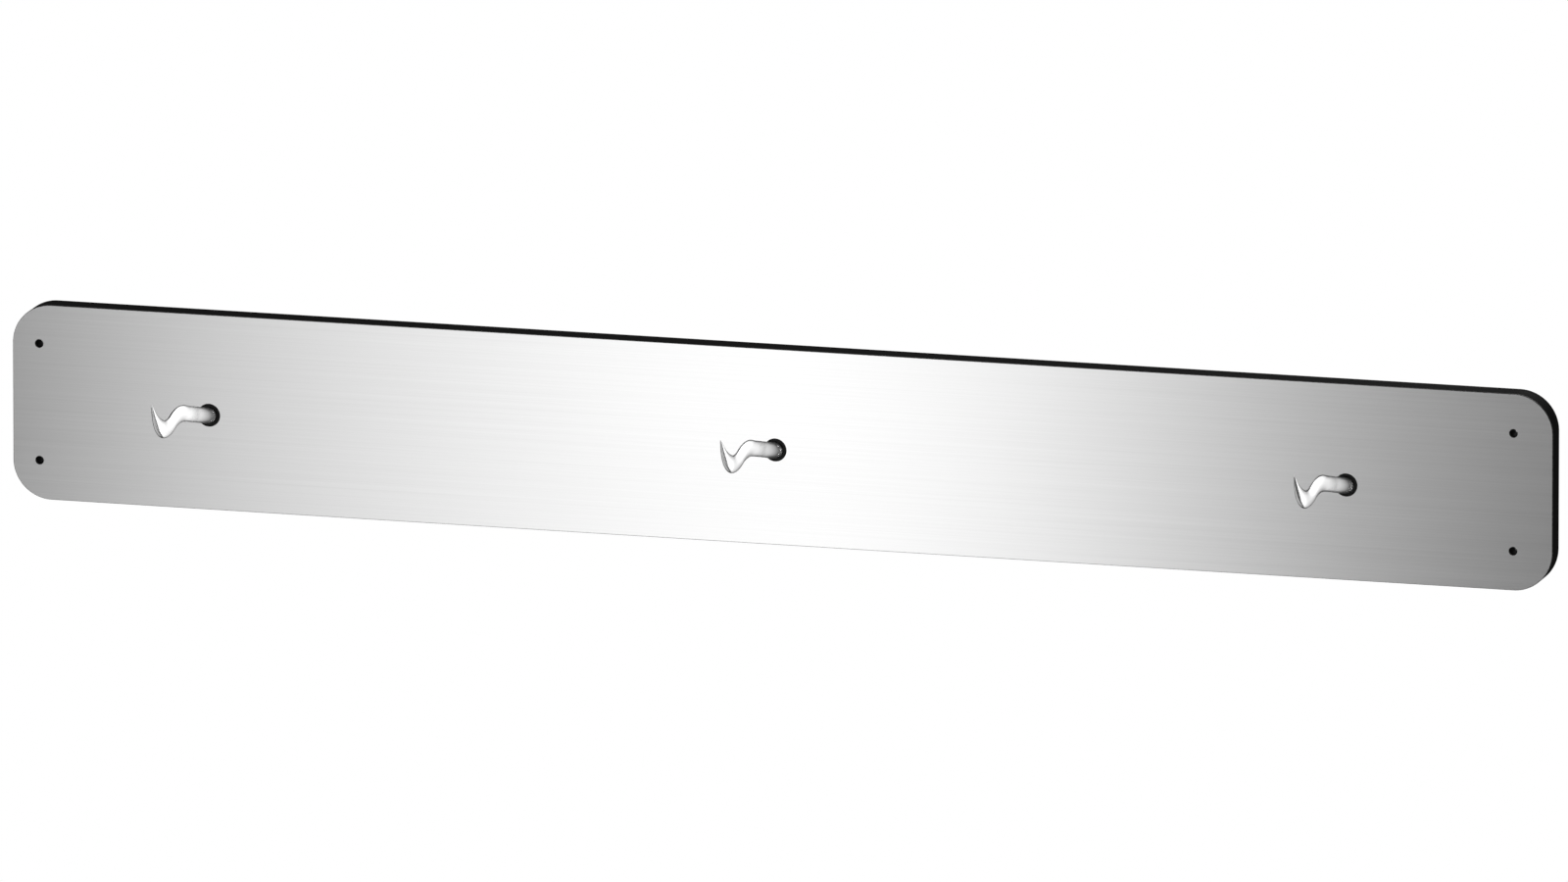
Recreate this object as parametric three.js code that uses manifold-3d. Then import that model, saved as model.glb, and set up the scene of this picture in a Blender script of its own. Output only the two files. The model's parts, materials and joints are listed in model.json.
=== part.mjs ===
// Wall-mounted magnetic knife rack with three tool hooks.
// Millimetres. X runs along the rack, +Y points into the wall, +Z is up.
// The origin is the centre of the rear face, which lies against the wall at Y = 0.
import * as THREE from "three";
import { mergeVertices } from "three/addons/utils/BufferGeometryUtils.js";
import Module from "manifold-3d";

const wasm = await Module();
wasm.setup();

// Overall panel.
const PANEL_LENGTH = 800;
const PANEL_HEIGHT = 100;
const PANEL_DEPTH = 12.5;
const CORNER_RADIUS = 20;

// Layers, from the front face back to the wall.
const FACE_THICKNESS = 1.2;
const COVER_THICKNESS = 2;
const GLUE_LINE = 0.1;
const SEAT_GAP = 0.05;
const FACE_FRONT = -PANEL_DEPTH;
const FACE_BACK = FACE_FRONT + FACE_THICKNESS;
const BODY_FRONT = FACE_BACK + GLUE_LINE;
const COVER_FRONT = -COVER_THICKNESS;
const REBATE_FLOOR = COVER_FRONT - GLUE_LINE;
const REBATE_MARGIN = 3;
const COVER_GAP = 0.3;

// Holes for the wall screws, one near each corner, the four centred a little left of the middle.
const WALL_HOLES_SHIFT = -3.2;
const WALL_HOLE_SPAN = 766;
const WALL_HOLE_RISE = 60;
const WALL_HOLE_RADIUS = 2.1;
const WALL_BORE_RADIUS = 2.3;

// Magnets: two rows of ferrite blocks, each row closed by a steel keeper bar.
const MAGNETS_PER_ROW = 15;
const MAGNET_PITCH = 48;
const MAGNET = { length: 40, height: 20, depth: 6, chamfer: 0.6 };
const ROW_HEIGHT = 27;
const MAGNET_GAP = 0.3;
const MAGNET_FRONT = BODY_FRONT + SEAT_GAP;
const MAGNET_BACK = MAGNET_FRONT + MAGNET.depth;
const KEEPER = { length: 720, height: 20 };
const KEEPER_FRONT = MAGNET_BACK + SEAT_GAP;
const SLOT_FLOOR = MAGNET_BACK;

// Hooks: one bar bent in a vertical plane at right angles to the panel.
// The middle one stands a little left of the panel's middle.
const HOOKS_SHIFT = -1.8;
const HOOK_SPACING = 295.5;
const HOOK_HEIGHT = -1.5;
const HOOK_RADIUS = 4;
const HOOK_HALF_WIDTH = 2;
const FLATTEN_START = 10;
const FLATTEN_END = 30;
const TROUGH_HALF_HEIGHT = 4.5;
const SWELL_START = 40;
const SWELL_END = 60;
const HOOK_ROOT_BEND = { radius: 11.5, degrees: 13.6 };
const HOOK_RISE = 40.9;
const HOOK_CREST_BEND = { radius: 44, degrees: -28.5 };
const HOOK_TROUGH_BEND = { radius: 30, degrees: 70 };
const HOOK_TIP_RUN = 5.3;
const POINT_LENGTH = 25;
const POINT_POWER = { tall: 1.9, wide: 1.6 };
const TIP_RADIUS = 0.3;

// How each hook is held: bush in the face, then anchor plate, lock washer and thin nut in a pocket.
const HOOK_HOLE_RADIUS = 5.75;
const BUSH = { nose: 5.65, bore: 4.1, flange: 7.5, flangeDepth: 1, recess: 0.15 };
const BUSH_SEAT_RADIUS = 7.7;
const BUSH_SEAT_DEPTH = 1.1;
const HOOK_BORE_RADIUS = 4.3;
const ANCHOR = { length: 42, height: 22, thickness: 2, corner: 3 };
const ANCHOR_POCKET = { length: 43, height: 23, corner: 3.5 };
const ANCHOR_FRONT = -8.6;
const ANCHOR_BACK = ANCHOR_FRONT + ANCHOR.thickness;
const POCKET_FLOOR = ANCHOR_FRONT - GLUE_LINE;
const HOOK_SHOULDER = ANCHOR_FRONT - SEAT_GAP;
const NECK_SIDE = 6;
const NECK_HOLE_SIDE = 6.3;
const THREAD_RADIUS = 2.95;
const THREAD_END = -2.35;
const THREAD_CHAMFER = 0.5;
const WASHER = { thickness: 0.7, bore: 3.2, root: 4.4, tip: 5.5, teeth: 10 };
const WASHER_FRONT = ANCHOR_BACK + SEAT_GAP;
const WASHER_BACK = WASHER_FRONT + WASHER.thickness;
const NUT = { thickness: 3.2, acrossFlats: 10, bore: 3.03, chamfer: 0.5 };
const NUT_FRONT = WASHER_BACK + SEAT_GAP;
const NUT_BACK = NUT_FRONT + NUT.thickness;

// One tooth of the lock washer: radius against share of the pitch, from flank to flank.
const WASHER_TOOTH = [
  [WASHER.root, 0.1],
  [WASHER.tip, 0.25],
  [WASHER.tip, 0.65],
  [WASHER.root, 0.8],
];

// Countersunk self-tapping screws that close the rear cover.
const SCREW_COLUMNS = [-330, -110, 110, 330];
const SCREW_ROW = 42.5;
const SCREW = { head: 2.75, headDepth: 1.35, shank: 1.4, length: 8, tip: 1.6, sink: 0.1 };
const COUNTERSINK_RADIUS = 2.95;
const SCREW_CLEARANCE = 0.15;
const PILOT_FLOOR = -9;
const RECESS = { span: 3, slot: 0.7, depth: 0.9 };

// Smoothness of curved stretches.
const PANEL_ARC_STEPS = 16;
const SMALL_ARC_STEPS = 6;
const ROUND_STEPS = 24;
const SMALL_STEPS = 16;
const HOOK_SIDES = 16;
const HOOK_STEPS = { shoulder: 1, root: 2, rise: 5, crest: 5, trough: 12, tip: 3 };

const SIDES = ["left", "centre", "right"];
const HALF_PI = Math.PI / 2;
const REACH_PAST = 1; // how far a cutter runs past the face that it opens
const WELD_DISTANCE = 1e-4;

// Materials.
const finish = (color, roughness, metalness) =>
  new THREE.MeshStandardMaterial({ color, roughness, metalness });
const BRUSHED_STEEL = finish(0xb8b9ba, 0.32, 1);
const POLISHED_STEEL = finish(0xcfd0d1, 0.16, 1);
const ZINC_STEEL = finish(0xa9adb0, 0.42, 1);
const BLACK_POLYMER = finish(0x161617, 0.55, 0);
const BLACK_NYLON = finish(0x0b0b0c, 0.4, 0);
const FERRITE = finish(0x2a2b2d, 0.7, 0);

// A closed surface as a solid that can be cut and joined, its shared vertices merged.
function solidFrom(geometry) {
  const bare = geometry.clone();
  for (const name of ["normal", "uv"]) bare.deleteAttribute(name);
  const merged = mergeVertices(bare, WELD_DISTANCE);
  return new wasm.Manifold(
    new wasm.Mesh({
      numProp: 3,
      vertProperties: merged.attributes.position.array,
      triVerts: new Uint32Array(merged.index.array),
    }),
  );
}

// A solid back as a surface of triangles.
function geometryFrom(solid) {
  const mesh = solid.getMesh();
  const geometry = new THREE.BufferGeometry();
  geometry.setAttribute("position", new THREE.BufferAttribute(mesh.vertProperties, 3));
  geometry.setIndex(new THREE.BufferAttribute(mesh.triVerts, 1));
  geometry.computeVertexNormals();
  return geometry;
}

// base with every geometry in cutters taken away.
function cut(base, cutters) {
  const solids = cutters.map(solidFrom);
  return geometryFrom(solids.reduce((left, solid) => left.subtract(solid), solidFrom(base)));
}

// All the geometries joined into one.
function join(geometries) {
  return geometryFrom(geometries.map(solidFrom).reduce((whole, piece) => whole.add(piece)));
}

// The material that both geometries share.
function common(a, b) {
  return geometryFrom(solidFrom(a).intersect(solidFrom(b)));
}

// A rounded rectangle in the X-Z plane, centred on (x, z).
function roundedRectangle(length, height, radius, x = 0, z = 0) {
  const dx = length / 2 - radius;
  const dz = height / 2 - radius;
  const shape = new THREE.Shape();
  shape.absarc(x + dx, z + dz, radius, 0, HALF_PI);
  shape.absarc(x - dx, z + dz, radius, HALF_PI, 2 * HALF_PI);
  shape.absarc(x - dx, z - dz, radius, 2 * HALF_PI, 3 * HALF_PI);
  shape.absarc(x + dx, z - dz, radius, 3 * HALF_PI, 4 * HALF_PI);
  shape.closePath();
  return shape;
}

// A shape drawn in X-Z, made solid between two Y planes.
function slab(shape, front, back, curveSegments = SMALL_ARC_STEPS) {
  const options = { depth: back - front, bevelEnabled: false, curveSegments };
  const geometry = new THREE.ExtrudeGeometry(shape, options);
  geometry.rotateX(HALF_PI);
  geometry.translate(0, back, 0);
  return geometry;
}

// A box between two Y planes, centred on (x, z).
function block(length, height, front, back, x = 0, z = 0) {
  return new THREE.BoxGeometry(length, back - front, height).translate(x, (front + back) / 2, z);
}

// A round bar along Y, centred on (x, z).
function bar(radius, front, back, x = 0, z = 0, steps = ROUND_STEPS) {
  const geometry = new THREE.CylinderGeometry(radius, radius, back - front, steps);
  return geometry.translate(x, (front + back) / 2, z);
}

// A body turned about a Y axis. The profile lists [radius, y] with y increasing along its outer side.
function turned(profile, steps = ROUND_STEPS) {
  const points = profile.map(([radius, y]) => new THREE.Vector2(radius, y));
  return new THREE.LatheGeometry(points, steps);
}

const wallHoles = [-1, 1].flatMap((side) =>
  [-1, 1].map((level) => ({
    x: WALL_HOLES_SHIFT + (side * WALL_HOLE_SPAN) / 2,
    z: (level * WALL_HOLE_RISE) / 2,
  })),
);
const hookCentres = SIDES.map((side, i) => ({
  side,
  x: HOOKS_SHIFT + (i - 1) * HOOK_SPACING,
  z: HOOK_HEIGHT,
}));
const screwCentres = [SCREW_ROW, -SCREW_ROW].flatMap((z) => SCREW_COLUMNS.map((x) => ({ x, z })));
const magnetColumns = Array.from(
  { length: MAGNETS_PER_ROW },
  (_, i) => (i - (MAGNETS_PER_ROW - 1) / 2) * MAGNET_PITCH,
);

// A cutter for one round hole at each centre, through a layer from front to back.
function drilled(centres, radius, front, back) {
  return centres.map(({ x, z }) => bar(radius, front - REACH_PAST, back + REACH_PAST, x, z));
}

// Stainless face sheet with its seven holes.
function facePlate() {
  const outline = roundedRectangle(PANEL_LENGTH, PANEL_HEIGHT, CORNER_RADIUS);
  return cut(slab(outline, FACE_FRONT, FACE_BACK, PANEL_ARC_STEPS), [
    ...drilled(wallHoles, WALL_HOLE_RADIUS, FACE_FRONT, FACE_BACK),
    ...drilled(hookCentres, HOOK_HOLE_RADIUS, FACE_FRONT, FACE_BACK),
  ]);
}

// Black polymer body: magnet windows, keeper slots, anchor pockets and a rebate for the cover.
function magnetBody() {
  const outline = roundedRectangle(PANEL_LENGTH, PANEL_HEIGHT, CORNER_RADIUS);
  const rebate = roundedRectangle(
    PANEL_LENGTH - 2 * REBATE_MARGIN,
    PANEL_HEIGHT - 2 * REBATE_MARGIN,
    CORNER_RADIUS - REBATE_MARGIN,
  );
  const slotHeight = MAGNET.height + 2 * MAGNET_GAP;
  const rows = [ROW_HEIGHT, -ROW_HEIGHT].flatMap((z) => [
    block(KEEPER.length + 2 * MAGNET_GAP, slotHeight, SLOT_FLOOR, REACH_PAST, 0, z),
    ...magnetColumns.map((x) => {
      const length = MAGNET.length + 2 * MAGNET_GAP;
      return block(length, slotHeight, BODY_FRONT - REACH_PAST, SLOT_FLOOR + REACH_PAST, x, z);
    }),
  ]);
  const pockets = hookCentres.map(({ x, z }) => {
    const { length, height, corner } = ANCHOR_POCKET;
    return slab(roundedRectangle(length, height, corner, x, z), POCKET_FLOOR, REACH_PAST);
  });
  const bushSeats = hookCentres.map(({ x, z }) =>
    bar(BUSH_SEAT_RADIUS, BODY_FRONT - REACH_PAST, BODY_FRONT + BUSH_SEAT_DEPTH, x, z),
  );
  const pilotRadius = SCREW.shank + SCREW_CLEARANCE;
  return cut(slab(outline, BODY_FRONT, 0, PANEL_ARC_STEPS), [
    slab(rebate, REBATE_FLOOR, REACH_PAST, PANEL_ARC_STEPS),
    ...rows,
    ...pockets,
    ...bushSeats,
    ...drilled(hookCentres, HOOK_BORE_RADIUS, BODY_FRONT, 0),
    ...drilled(wallHoles, WALL_BORE_RADIUS, BODY_FRONT, 0),
    ...screwCentres.map(({ x, z }) => bar(pilotRadius, PILOT_FLOOR, REACH_PAST, x, z, SMALL_STEPS)),
  ]);
}

// Flat rear cover with countersunk screw holes, flush in the rebate.
function rearCover() {
  const inset = 2 * (REBATE_MARGIN + COVER_GAP);
  const corner = CORNER_RADIUS - REBATE_MARGIN - COVER_GAP;
  const outline = roundedRectangle(PANEL_LENGTH - inset, PANEL_HEIGHT - inset, corner);
  const throat = SCREW.shank + SCREW_CLEARANCE;
  const sinkDepth = COUNTERSINK_RADIUS - throat;
  const countersink = [
    [0, COVER_FRONT - REACH_PAST],
    [throat, COVER_FRONT - REACH_PAST],
    [throat, -sinkDepth],
    [COUNTERSINK_RADIUS + REACH_PAST, REACH_PAST],
    [0, REACH_PAST],
  ];
  return cut(slab(outline, COVER_FRONT, 0, PANEL_ARC_STEPS), [
    ...drilled(wallHoles, WALL_BORE_RADIUS, COVER_FRONT, 0),
    ...screwCentres.map(({ x, z }) => turned(countersink, SMALL_STEPS).translate(x, 0, z)),
  ]);
}

// One magnet block, with chamfered edges on its two pole faces.
function magnetBlock() {
  const { length, height, depth, chamfer } = MAGNET;
  const outline = new THREE.Shape([
    new THREE.Vector2(-length / 2 + chamfer, -height / 2 + chamfer),
    new THREE.Vector2(length / 2 - chamfer, -height / 2 + chamfer),
    new THREE.Vector2(length / 2 - chamfer, height / 2 - chamfer),
    new THREE.Vector2(-length / 2 + chamfer, height / 2 - chamfer),
  ]);
  const geometry = new THREE.ExtrudeGeometry(outline, {
    depth: depth - 2 * chamfer,
    bevelThickness: chamfer,
    bevelSize: chamfer,
    bevelSegments: 1,
  });
  geometry.rotateX(HALF_PI);
  return geometry.translate(0, MAGNET_BACK - chamfer, 0);
}

// The hook's centreline as [forward, up, heading], sampled from the shoulder to the tip.
// forward is measured from the front face and heading is in radians above the horizontal.
function hookCentreline() {
  const stations = [];
  let forward = FACE_FRONT - HOOK_SHOULDER;
  let up = 0;
  let heading = 0;
  const mark = () => stations.push({ forward, up, heading });
  const run = (length, steps) => {
    for (let i = 0; i < steps; i++) {
      forward += (length / steps) * Math.cos(heading);
      up += (length / steps) * Math.sin(heading);
      mark();
    }
  };
  const bend = ({ radius, degrees }, steps) => {
    const start = { forward, up, heading };
    const turn = THREE.MathUtils.degToRad(degrees);
    const side = Math.sign(turn);
    for (let i = 1; i <= steps; i++) {
      heading = start.heading + (turn * i) / steps;
      forward = start.forward + side * radius * (Math.sin(heading) - Math.sin(start.heading));
      up = start.up + side * radius * (Math.cos(start.heading) - Math.cos(heading));
      mark();
    }
  };
  mark();
  run(-forward, HOOK_STEPS.shoulder);
  bend(HOOK_ROOT_BEND, HOOK_STEPS.root);
  run(HOOK_RISE, HOOK_STEPS.rise);
  bend(HOOK_CREST_BEND, HOOK_STEPS.crest);
  bend(HOOK_TROUGH_BEND, HOOK_STEPS.trough);
  run(HOOK_TIP_RUN, HOOK_STEPS.tip);
  return stations;
}

// The bent bar: round at the panel, pressed to an oval further out that is tallest in the trough,
// and drawn to a point.
function hookBar() {
  const stations = hookCentreline();
  const travelled = [0];
  for (let i = 1; i < stations.length; i++) {
    const df = stations[i].forward - stations[i - 1].forward;
    const du = stations[i].up - stations[i - 1].up;
    travelled.push(travelled[i - 1] + Math.hypot(df, du));
  }
  const total = travelled[travelled.length - 1];
  const positions = [];
  stations.forEach(({ forward, up, heading }, i) => {
    const intoPoint = Math.max(0, (travelled[i] - total + POINT_LENGTH) / POINT_LENGTH);
    const flat = THREE.MathUtils.smoothstep(travelled[i], FLATTEN_START, FLATTEN_END);
    const halfWidth = THREE.MathUtils.lerp(HOOK_RADIUS, HOOK_HALF_WIDTH, flat);
    const swell = THREE.MathUtils.smoothstep(travelled[i], SWELL_START, SWELL_END);
    const halfHeight = THREE.MathUtils.lerp(HOOK_RADIUS, TROUGH_HALF_HEIGHT, swell);
    const tall = THREE.MathUtils.lerp(halfHeight, TIP_RADIUS, intoPoint ** POINT_POWER.tall);
    const wide = THREE.MathUtils.lerp(halfWidth, TIP_RADIUS, intoPoint ** POINT_POWER.wide);
    for (let k = 0; k < HOOK_SIDES; k++) {
      const angle = (2 * Math.PI * k) / HOOK_SIDES;
      const across = wide * Math.cos(angle);
      const normal = tall * Math.sin(angle);
      positions.push(
        across,
        FACE_FRONT - forward + normal * Math.sin(heading),
        up + normal * Math.cos(heading),
      );
    }
  });
  const last = stations.length - 1;
  const root = positions.length / 3;
  for (const { forward, up } of [stations[0], stations[last]]) {
    positions.push(0, FACE_FRONT - forward, up);
  }
  const index = [];
  for (let k = 0; k < HOOK_SIDES; k++) {
    const next = (k + 1) % HOOK_SIDES;
    for (let i = 0; i < last; i++) {
      const a = i * HOOK_SIDES + k;
      const b = i * HOOK_SIDES + next;
      index.push(a, b, a + HOOK_SIDES, b, b + HOOK_SIDES, a + HOOK_SIDES);
    }
    index.push(root, next, k, root + 1, last * HOOK_SIDES + k, last * HOOK_SIDES + next);
  }
  const geometry = new THREE.BufferGeometry();
  geometry.setAttribute("position", new THREE.Float32BufferAttribute(positions, 3));
  geometry.setIndex(index);
  return geometry;
}

// A whole hook: bent bar, square neck for the anchor plate and threaded end.
function hook() {
  const rootedAt = HOOK_SHOULDER - REACH_PAST;
  const neck = common(
    block(NECK_SIDE, NECK_SIDE, rootedAt, ANCHOR_BACK),
    bar(HOOK_RADIUS, rootedAt, ANCHOR_BACK),
  );
  const thread = turned([
    [0, rootedAt],
    [THREAD_RADIUS, rootedAt],
    [THREAD_RADIUS, THREAD_END - THREAD_CHAMFER],
    [THREAD_RADIUS - THREAD_CHAMFER, THREAD_END],
    [0, THREAD_END],
  ]);
  return join([hookBar(), neck, thread]);
}

// Flanged bush that seals the gap between hook and face.
function hookBush() {
  const flangeFront = FACE_BACK + SEAT_GAP;
  const back = flangeFront + BUSH.flangeDepth;
  const nose = FACE_FRONT + BUSH.recess;
  return turned([
    [BUSH.bore, nose],
    [BUSH.nose, nose],
    [BUSH.nose, flangeFront],
    [BUSH.flange, flangeFront],
    [BUSH.flange, back],
    [BUSH.bore, back],
    [BUSH.bore, nose],
  ]);
}

// Plate that spreads the hook's load, with a square hole that stops the hook turning.
function anchorPlate() {
  const outline = roundedRectangle(ANCHOR.length, ANCHOR.height, ANCHOR.corner);
  return cut(slab(outline, ANCHOR_FRONT, ANCHOR_BACK), [
    block(NECK_HOLE_SIDE, NECK_HOLE_SIDE, ANCHOR_FRONT - REACH_PAST, ANCHOR_BACK + REACH_PAST),
  ]);
}

// Externally toothed lock washer.
function lockWasher() {
  const pitch = (4 * HALF_PI) / WASHER.teeth;
  const corners = Array.from({ length: WASHER.teeth }, (_, tooth) =>
    WASHER_TOOTH.map(([radius, share]) => {
      const angle = (tooth + share) * pitch;
      return new THREE.Vector2(radius * Math.cos(angle), radius * Math.sin(angle));
    }),
  ).flat();
  const outline = new THREE.Shape(corners);
  outline.holes.push(new THREE.Path().absarc(0, 0, WASHER.bore, 0, 4 * HALF_PI, true));
  return slab(outline, WASHER_FRONT, WASHER_BACK, ROUND_STEPS);
}

// Thin hexagon nut with its corners chamfered on both sides.
function thinNut() {
  const corner = NUT.acrossFlats / Math.sqrt(3);
  const prism = bar(corner, NUT_FRONT, NUT_BACK, 0, 0, 6);
  const rounding = turned([
    [0, NUT_FRONT],
    [corner - NUT.chamfer, NUT_FRONT],
    [corner + NUT.chamfer, NUT_FRONT + NUT.chamfer],
    [corner + NUT.chamfer, NUT_BACK - NUT.chamfer],
    [corner - NUT.chamfer, NUT_BACK],
    [0, NUT_BACK],
  ]);
  return cut(common(prism, rounding), [bar(NUT.bore, NUT_FRONT - REACH_PAST, NUT_BACK + REACH_PAST)]);
}

// Countersunk self-tapping screw with a cross recess, its head towards the wall.
function coverScrew() {
  const head = -SCREW.sink;
  const profile = [
    [0, -SCREW.length],
    [SCREW.shank, -SCREW.length + SCREW.tip],
    [SCREW.shank, head - SCREW.headDepth],
    [SCREW.head, head],
    [0, head],
  ];
  return cut(turned(profile, SMALL_STEPS), [
    block(RECESS.span, RECESS.slot, head - RECESS.depth, REACH_PAST),
    block(RECESS.slot, RECESS.span, head - RECESS.depth, REACH_PAST),
  ]);
}

const rack = new THREE.Group();

// Adds a geometry to the rack as a named mesh, placed at (x, z).
function place(name, geometry, material, x = 0, z = 0) {
  const mesh = new THREE.Mesh(geometry, material);
  mesh.name = name;
  mesh.position.set(x, 0, z);
  rack.add(mesh);
}

place("front_plate", facePlate(), BRUSHED_STEEL);
place("magnet_body", magnetBody(), BLACK_POLYMER);
place("rear_cover", rearCover(), BLACK_POLYMER);

for (const [row, z] of [
  ["upper", ROW_HEIGHT],
  ["lower", -ROW_HEIGHT],
]) {
  const keeper = block(KEEPER.length, KEEPER.height, KEEPER_FRONT, REBATE_FLOOR);
  place(`keeper_bar_${row}`, keeper, ZINC_STEEL, 0, z);
  magnetColumns.forEach((x, i) => {
    const number = String(i + 1).padStart(2, "0");
    place(`magnet_${row}_${number}`, magnetBlock(), FERRITE, x, z);
  });
}

for (const { side, x, z } of hookCentres) {
  place(`hook_${side}`, hook(), POLISHED_STEEL, x, z);
  place(`hook_bush_${side}`, hookBush(), BLACK_NYLON, x, z);
  place(`hook_anchor_${side}`, anchorPlate(), ZINC_STEEL, x, z);
  place(`lock_washer_${side}`, lockWasher(), ZINC_STEEL, x, z);
  place(`hook_nut_${side}`, thinNut(), ZINC_STEEL, x, z);
}

screwCentres.forEach(({ x, z }, i) => place(`cover_screw_${i + 1}`, coverScrew(), ZINC_STEEL, x, z));

export default rack;
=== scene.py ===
"""Looks of a wall-mounted magnetic knife rack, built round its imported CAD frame.

Metres throughout. +X runs along the rack, +Y points into the wall, +Z is up.
"""

import json
import math

import bmesh
import bpy
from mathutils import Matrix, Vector
from mathutils.geometry import delaunay_2d_cdt


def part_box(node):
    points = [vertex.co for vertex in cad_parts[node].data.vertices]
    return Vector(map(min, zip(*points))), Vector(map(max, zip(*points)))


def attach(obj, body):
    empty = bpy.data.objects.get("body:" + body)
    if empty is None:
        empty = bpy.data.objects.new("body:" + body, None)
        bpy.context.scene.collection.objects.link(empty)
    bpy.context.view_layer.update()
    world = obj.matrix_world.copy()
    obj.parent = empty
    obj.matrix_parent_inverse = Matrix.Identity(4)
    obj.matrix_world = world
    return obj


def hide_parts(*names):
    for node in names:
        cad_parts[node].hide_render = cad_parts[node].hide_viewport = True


MM = 0.001
TAU = 2 * math.pi
HOOKS = ("left", "centre", "right")
SCREW_COUNT = 8

# Tolerances in metres, and one in millimetres for the thread's last ring.
WELD = 1e-7
SAME_POINT = 1e-9
LAST_RING = 1e-6

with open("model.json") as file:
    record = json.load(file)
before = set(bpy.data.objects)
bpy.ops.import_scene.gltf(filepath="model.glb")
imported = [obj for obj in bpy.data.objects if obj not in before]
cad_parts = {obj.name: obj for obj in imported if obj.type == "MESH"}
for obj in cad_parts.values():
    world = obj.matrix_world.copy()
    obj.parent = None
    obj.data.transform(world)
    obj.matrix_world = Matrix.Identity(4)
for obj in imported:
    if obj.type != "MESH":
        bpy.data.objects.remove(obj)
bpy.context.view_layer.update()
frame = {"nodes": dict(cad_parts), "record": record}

# ---------------------------------------------------------------- sizes from the frame

plate_low, plate_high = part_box("front_plate")
cover_low, cover_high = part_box("rear_cover")
FACE_Y = plate_low.y

# Corners and holes, as the CAD cuts them.
CORNER = 20 * MM
COVER_CORNER = 16.7 * MM
WALL_HOLE_SPAN, WALL_HOLE_RISE = 766 * MM, 60 * MM
WALL_HOLE_RADIUS = 2.1 * MM
WALL_BORE_RADIUS = 2.3 * MM
HOOK_HOLE_RADIUS = 5.75 * MM
SINK_RADIUS, SINK_THROAT, SINK_DEPTH = 2.95 * MM, 1.55 * MM, 1.4 * MM

# How far the corners of sheets and holes are rounded off.
SHEET_EASE, SHEET_HOLE_EASE = 0.25 * MM, 0.15 * MM
COVER_EASE, COVER_HOLE_EASE = 0.3 * MM, 0.2 * MM
BODY_EASE = 0.25 * MM

# The hook in millimetres, as the CAD bends it.
HOOK_RADIUS = 4.0
HOOK_HALF_WIDTH = 2.0
FLATTEN = (10.0, 30.0)
TROUGH_HALF_HEIGHT = 4.5
SWELL = (40.0, 60.0)
HOOK_BENDS = (
    # length or (radius, degrees), and how many stations it gets
    (3.95, 4),
    ((11.5, 13.6), 8),
    (40.9, 30),
    ((44.0, -28.5), 28),
    ((30.0, 70.0), 56),
    (5.3, 18),
)
POINT_LENGTH = 25.0
POINT_POWER = {"tall": 1.9, "wide": 1.6}
TIP_RADIUS = 0.3
TIP_ROUNDING = 0.5  # how much smaller the last ring is, so that the tip is a small dome

# Smoothness of round pieces.
ROUND_SIDES = 48
BUSH_SIDES = 64
CORNER_STEPS = 24
EASE_STEPS = 3
THREAD_STEPS = 8  # rings per turn of a thread


# ---------------------------------------------------------------- node materials

# Most of a noise texture's values lie between these two.
NOISE_LOW, NOISE_HIGH = 0.3, 0.7


class Nodes:
    """A material's node tree, with short calls for what the materials below need."""

    def __init__(self, name):
        self.material = bpy.data.materials.new(name)
        self.material.use_nodes = True
        self.tree = self.material.node_tree
        self.tree.nodes.clear()
        self.shader = self.add("ShaderNodeBsdfPrincipled")
        output = self.add("ShaderNodeOutputMaterial")
        self.link(self.shader.outputs["BSDF"], output.inputs["Surface"])
        self.where = self.add("ShaderNodeTexCoord").outputs["Object"]

    def add(self, kind, **settings):
        node = self.tree.nodes.new(kind)
        for key, value in settings.items():
            setattr(node, key, value)
        return node

    def link(self, source, target):
        self.tree.links.new(source, target)

    def set(self, **values):
        for key, value in values.items():
            self.shader.inputs[key.replace("_", " ")].default_value = value

    def scaled(self, scale, turn=(0, 0, 0), place=(0, 0, 0)):
        node = self.add("ShaderNodeMapping")
        node.inputs["Scale"].default_value = scale
        node.inputs["Rotation"].default_value = turn
        node.inputs["Location"].default_value = place
        self.link(self.where, node.inputs["Vector"])
        return node.outputs["Vector"]

    def noise(self, vector, detail, roughness=0.5):
        node = self.add("ShaderNodeTexNoise")
        self.link(vector, node.inputs["Vector"])
        node.inputs["Scale"].default_value = 1.0
        node.inputs["Detail"].default_value = detail
        node.inputs["Roughness"].default_value = roughness
        return node.outputs["Fac"]

    def span(self, value, low, high, start=0.0, end=1.0):
        node = self.add("ShaderNodeMapRange")
        self.link(value, node.inputs["Value"])
        for key, number in (
            ("From Min", start),
            ("From Max", end),
            ("To Min", low),
            ("To Max", high),
        ):
            node.inputs[key].default_value = number
        return node.outputs["Result"]

    def spread(self, noise, low, high):
        """A noise value stretched to run from low to high."""
        return self.span(noise, low, high, NOISE_LOW, NOISE_HIGH)

    def maths(self, operation, a, b):
        node = self.add("ShaderNodeMath", operation=operation)
        for socket, value in zip(node.inputs, (a, b)):
            if isinstance(value, (int, float)):
                socket.default_value = value
            else:
                self.link(value, socket)
        return node.outputs["Value"]

    def blend(self, factor, dark, light):
        node = self.add("ShaderNodeMix", data_type="RGBA")
        self.link(factor, node.inputs["Factor"])
        for socket, value in ((node.inputs[6], dark), (node.inputs[7], light)):
            if isinstance(value, tuple):
                socket.default_value = (*value, 1.0)
            else:
                self.link(value, socket)
        return node.outputs[2]

    def part(self, axis):
        node = self.add("ShaderNodeSeparateXYZ")
        self.link(self.where, node.inputs["Vector"])
        return node.outputs[axis]

    def bump(self, height, strength, distance, below=None):
        node = self.add("ShaderNodeBump")
        node.inputs["Strength"].default_value = strength
        node.inputs["Distance"].default_value = distance
        self.link(height, node.inputs["Height"])
        if below is not None:
            self.link(below, node.inputs["Normal"])
        return node.outputs["Normal"]

    def feed(self, name, source):
        self.link(source, self.shader.inputs[name])


def grey(value):
    return (value, value, value)


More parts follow.
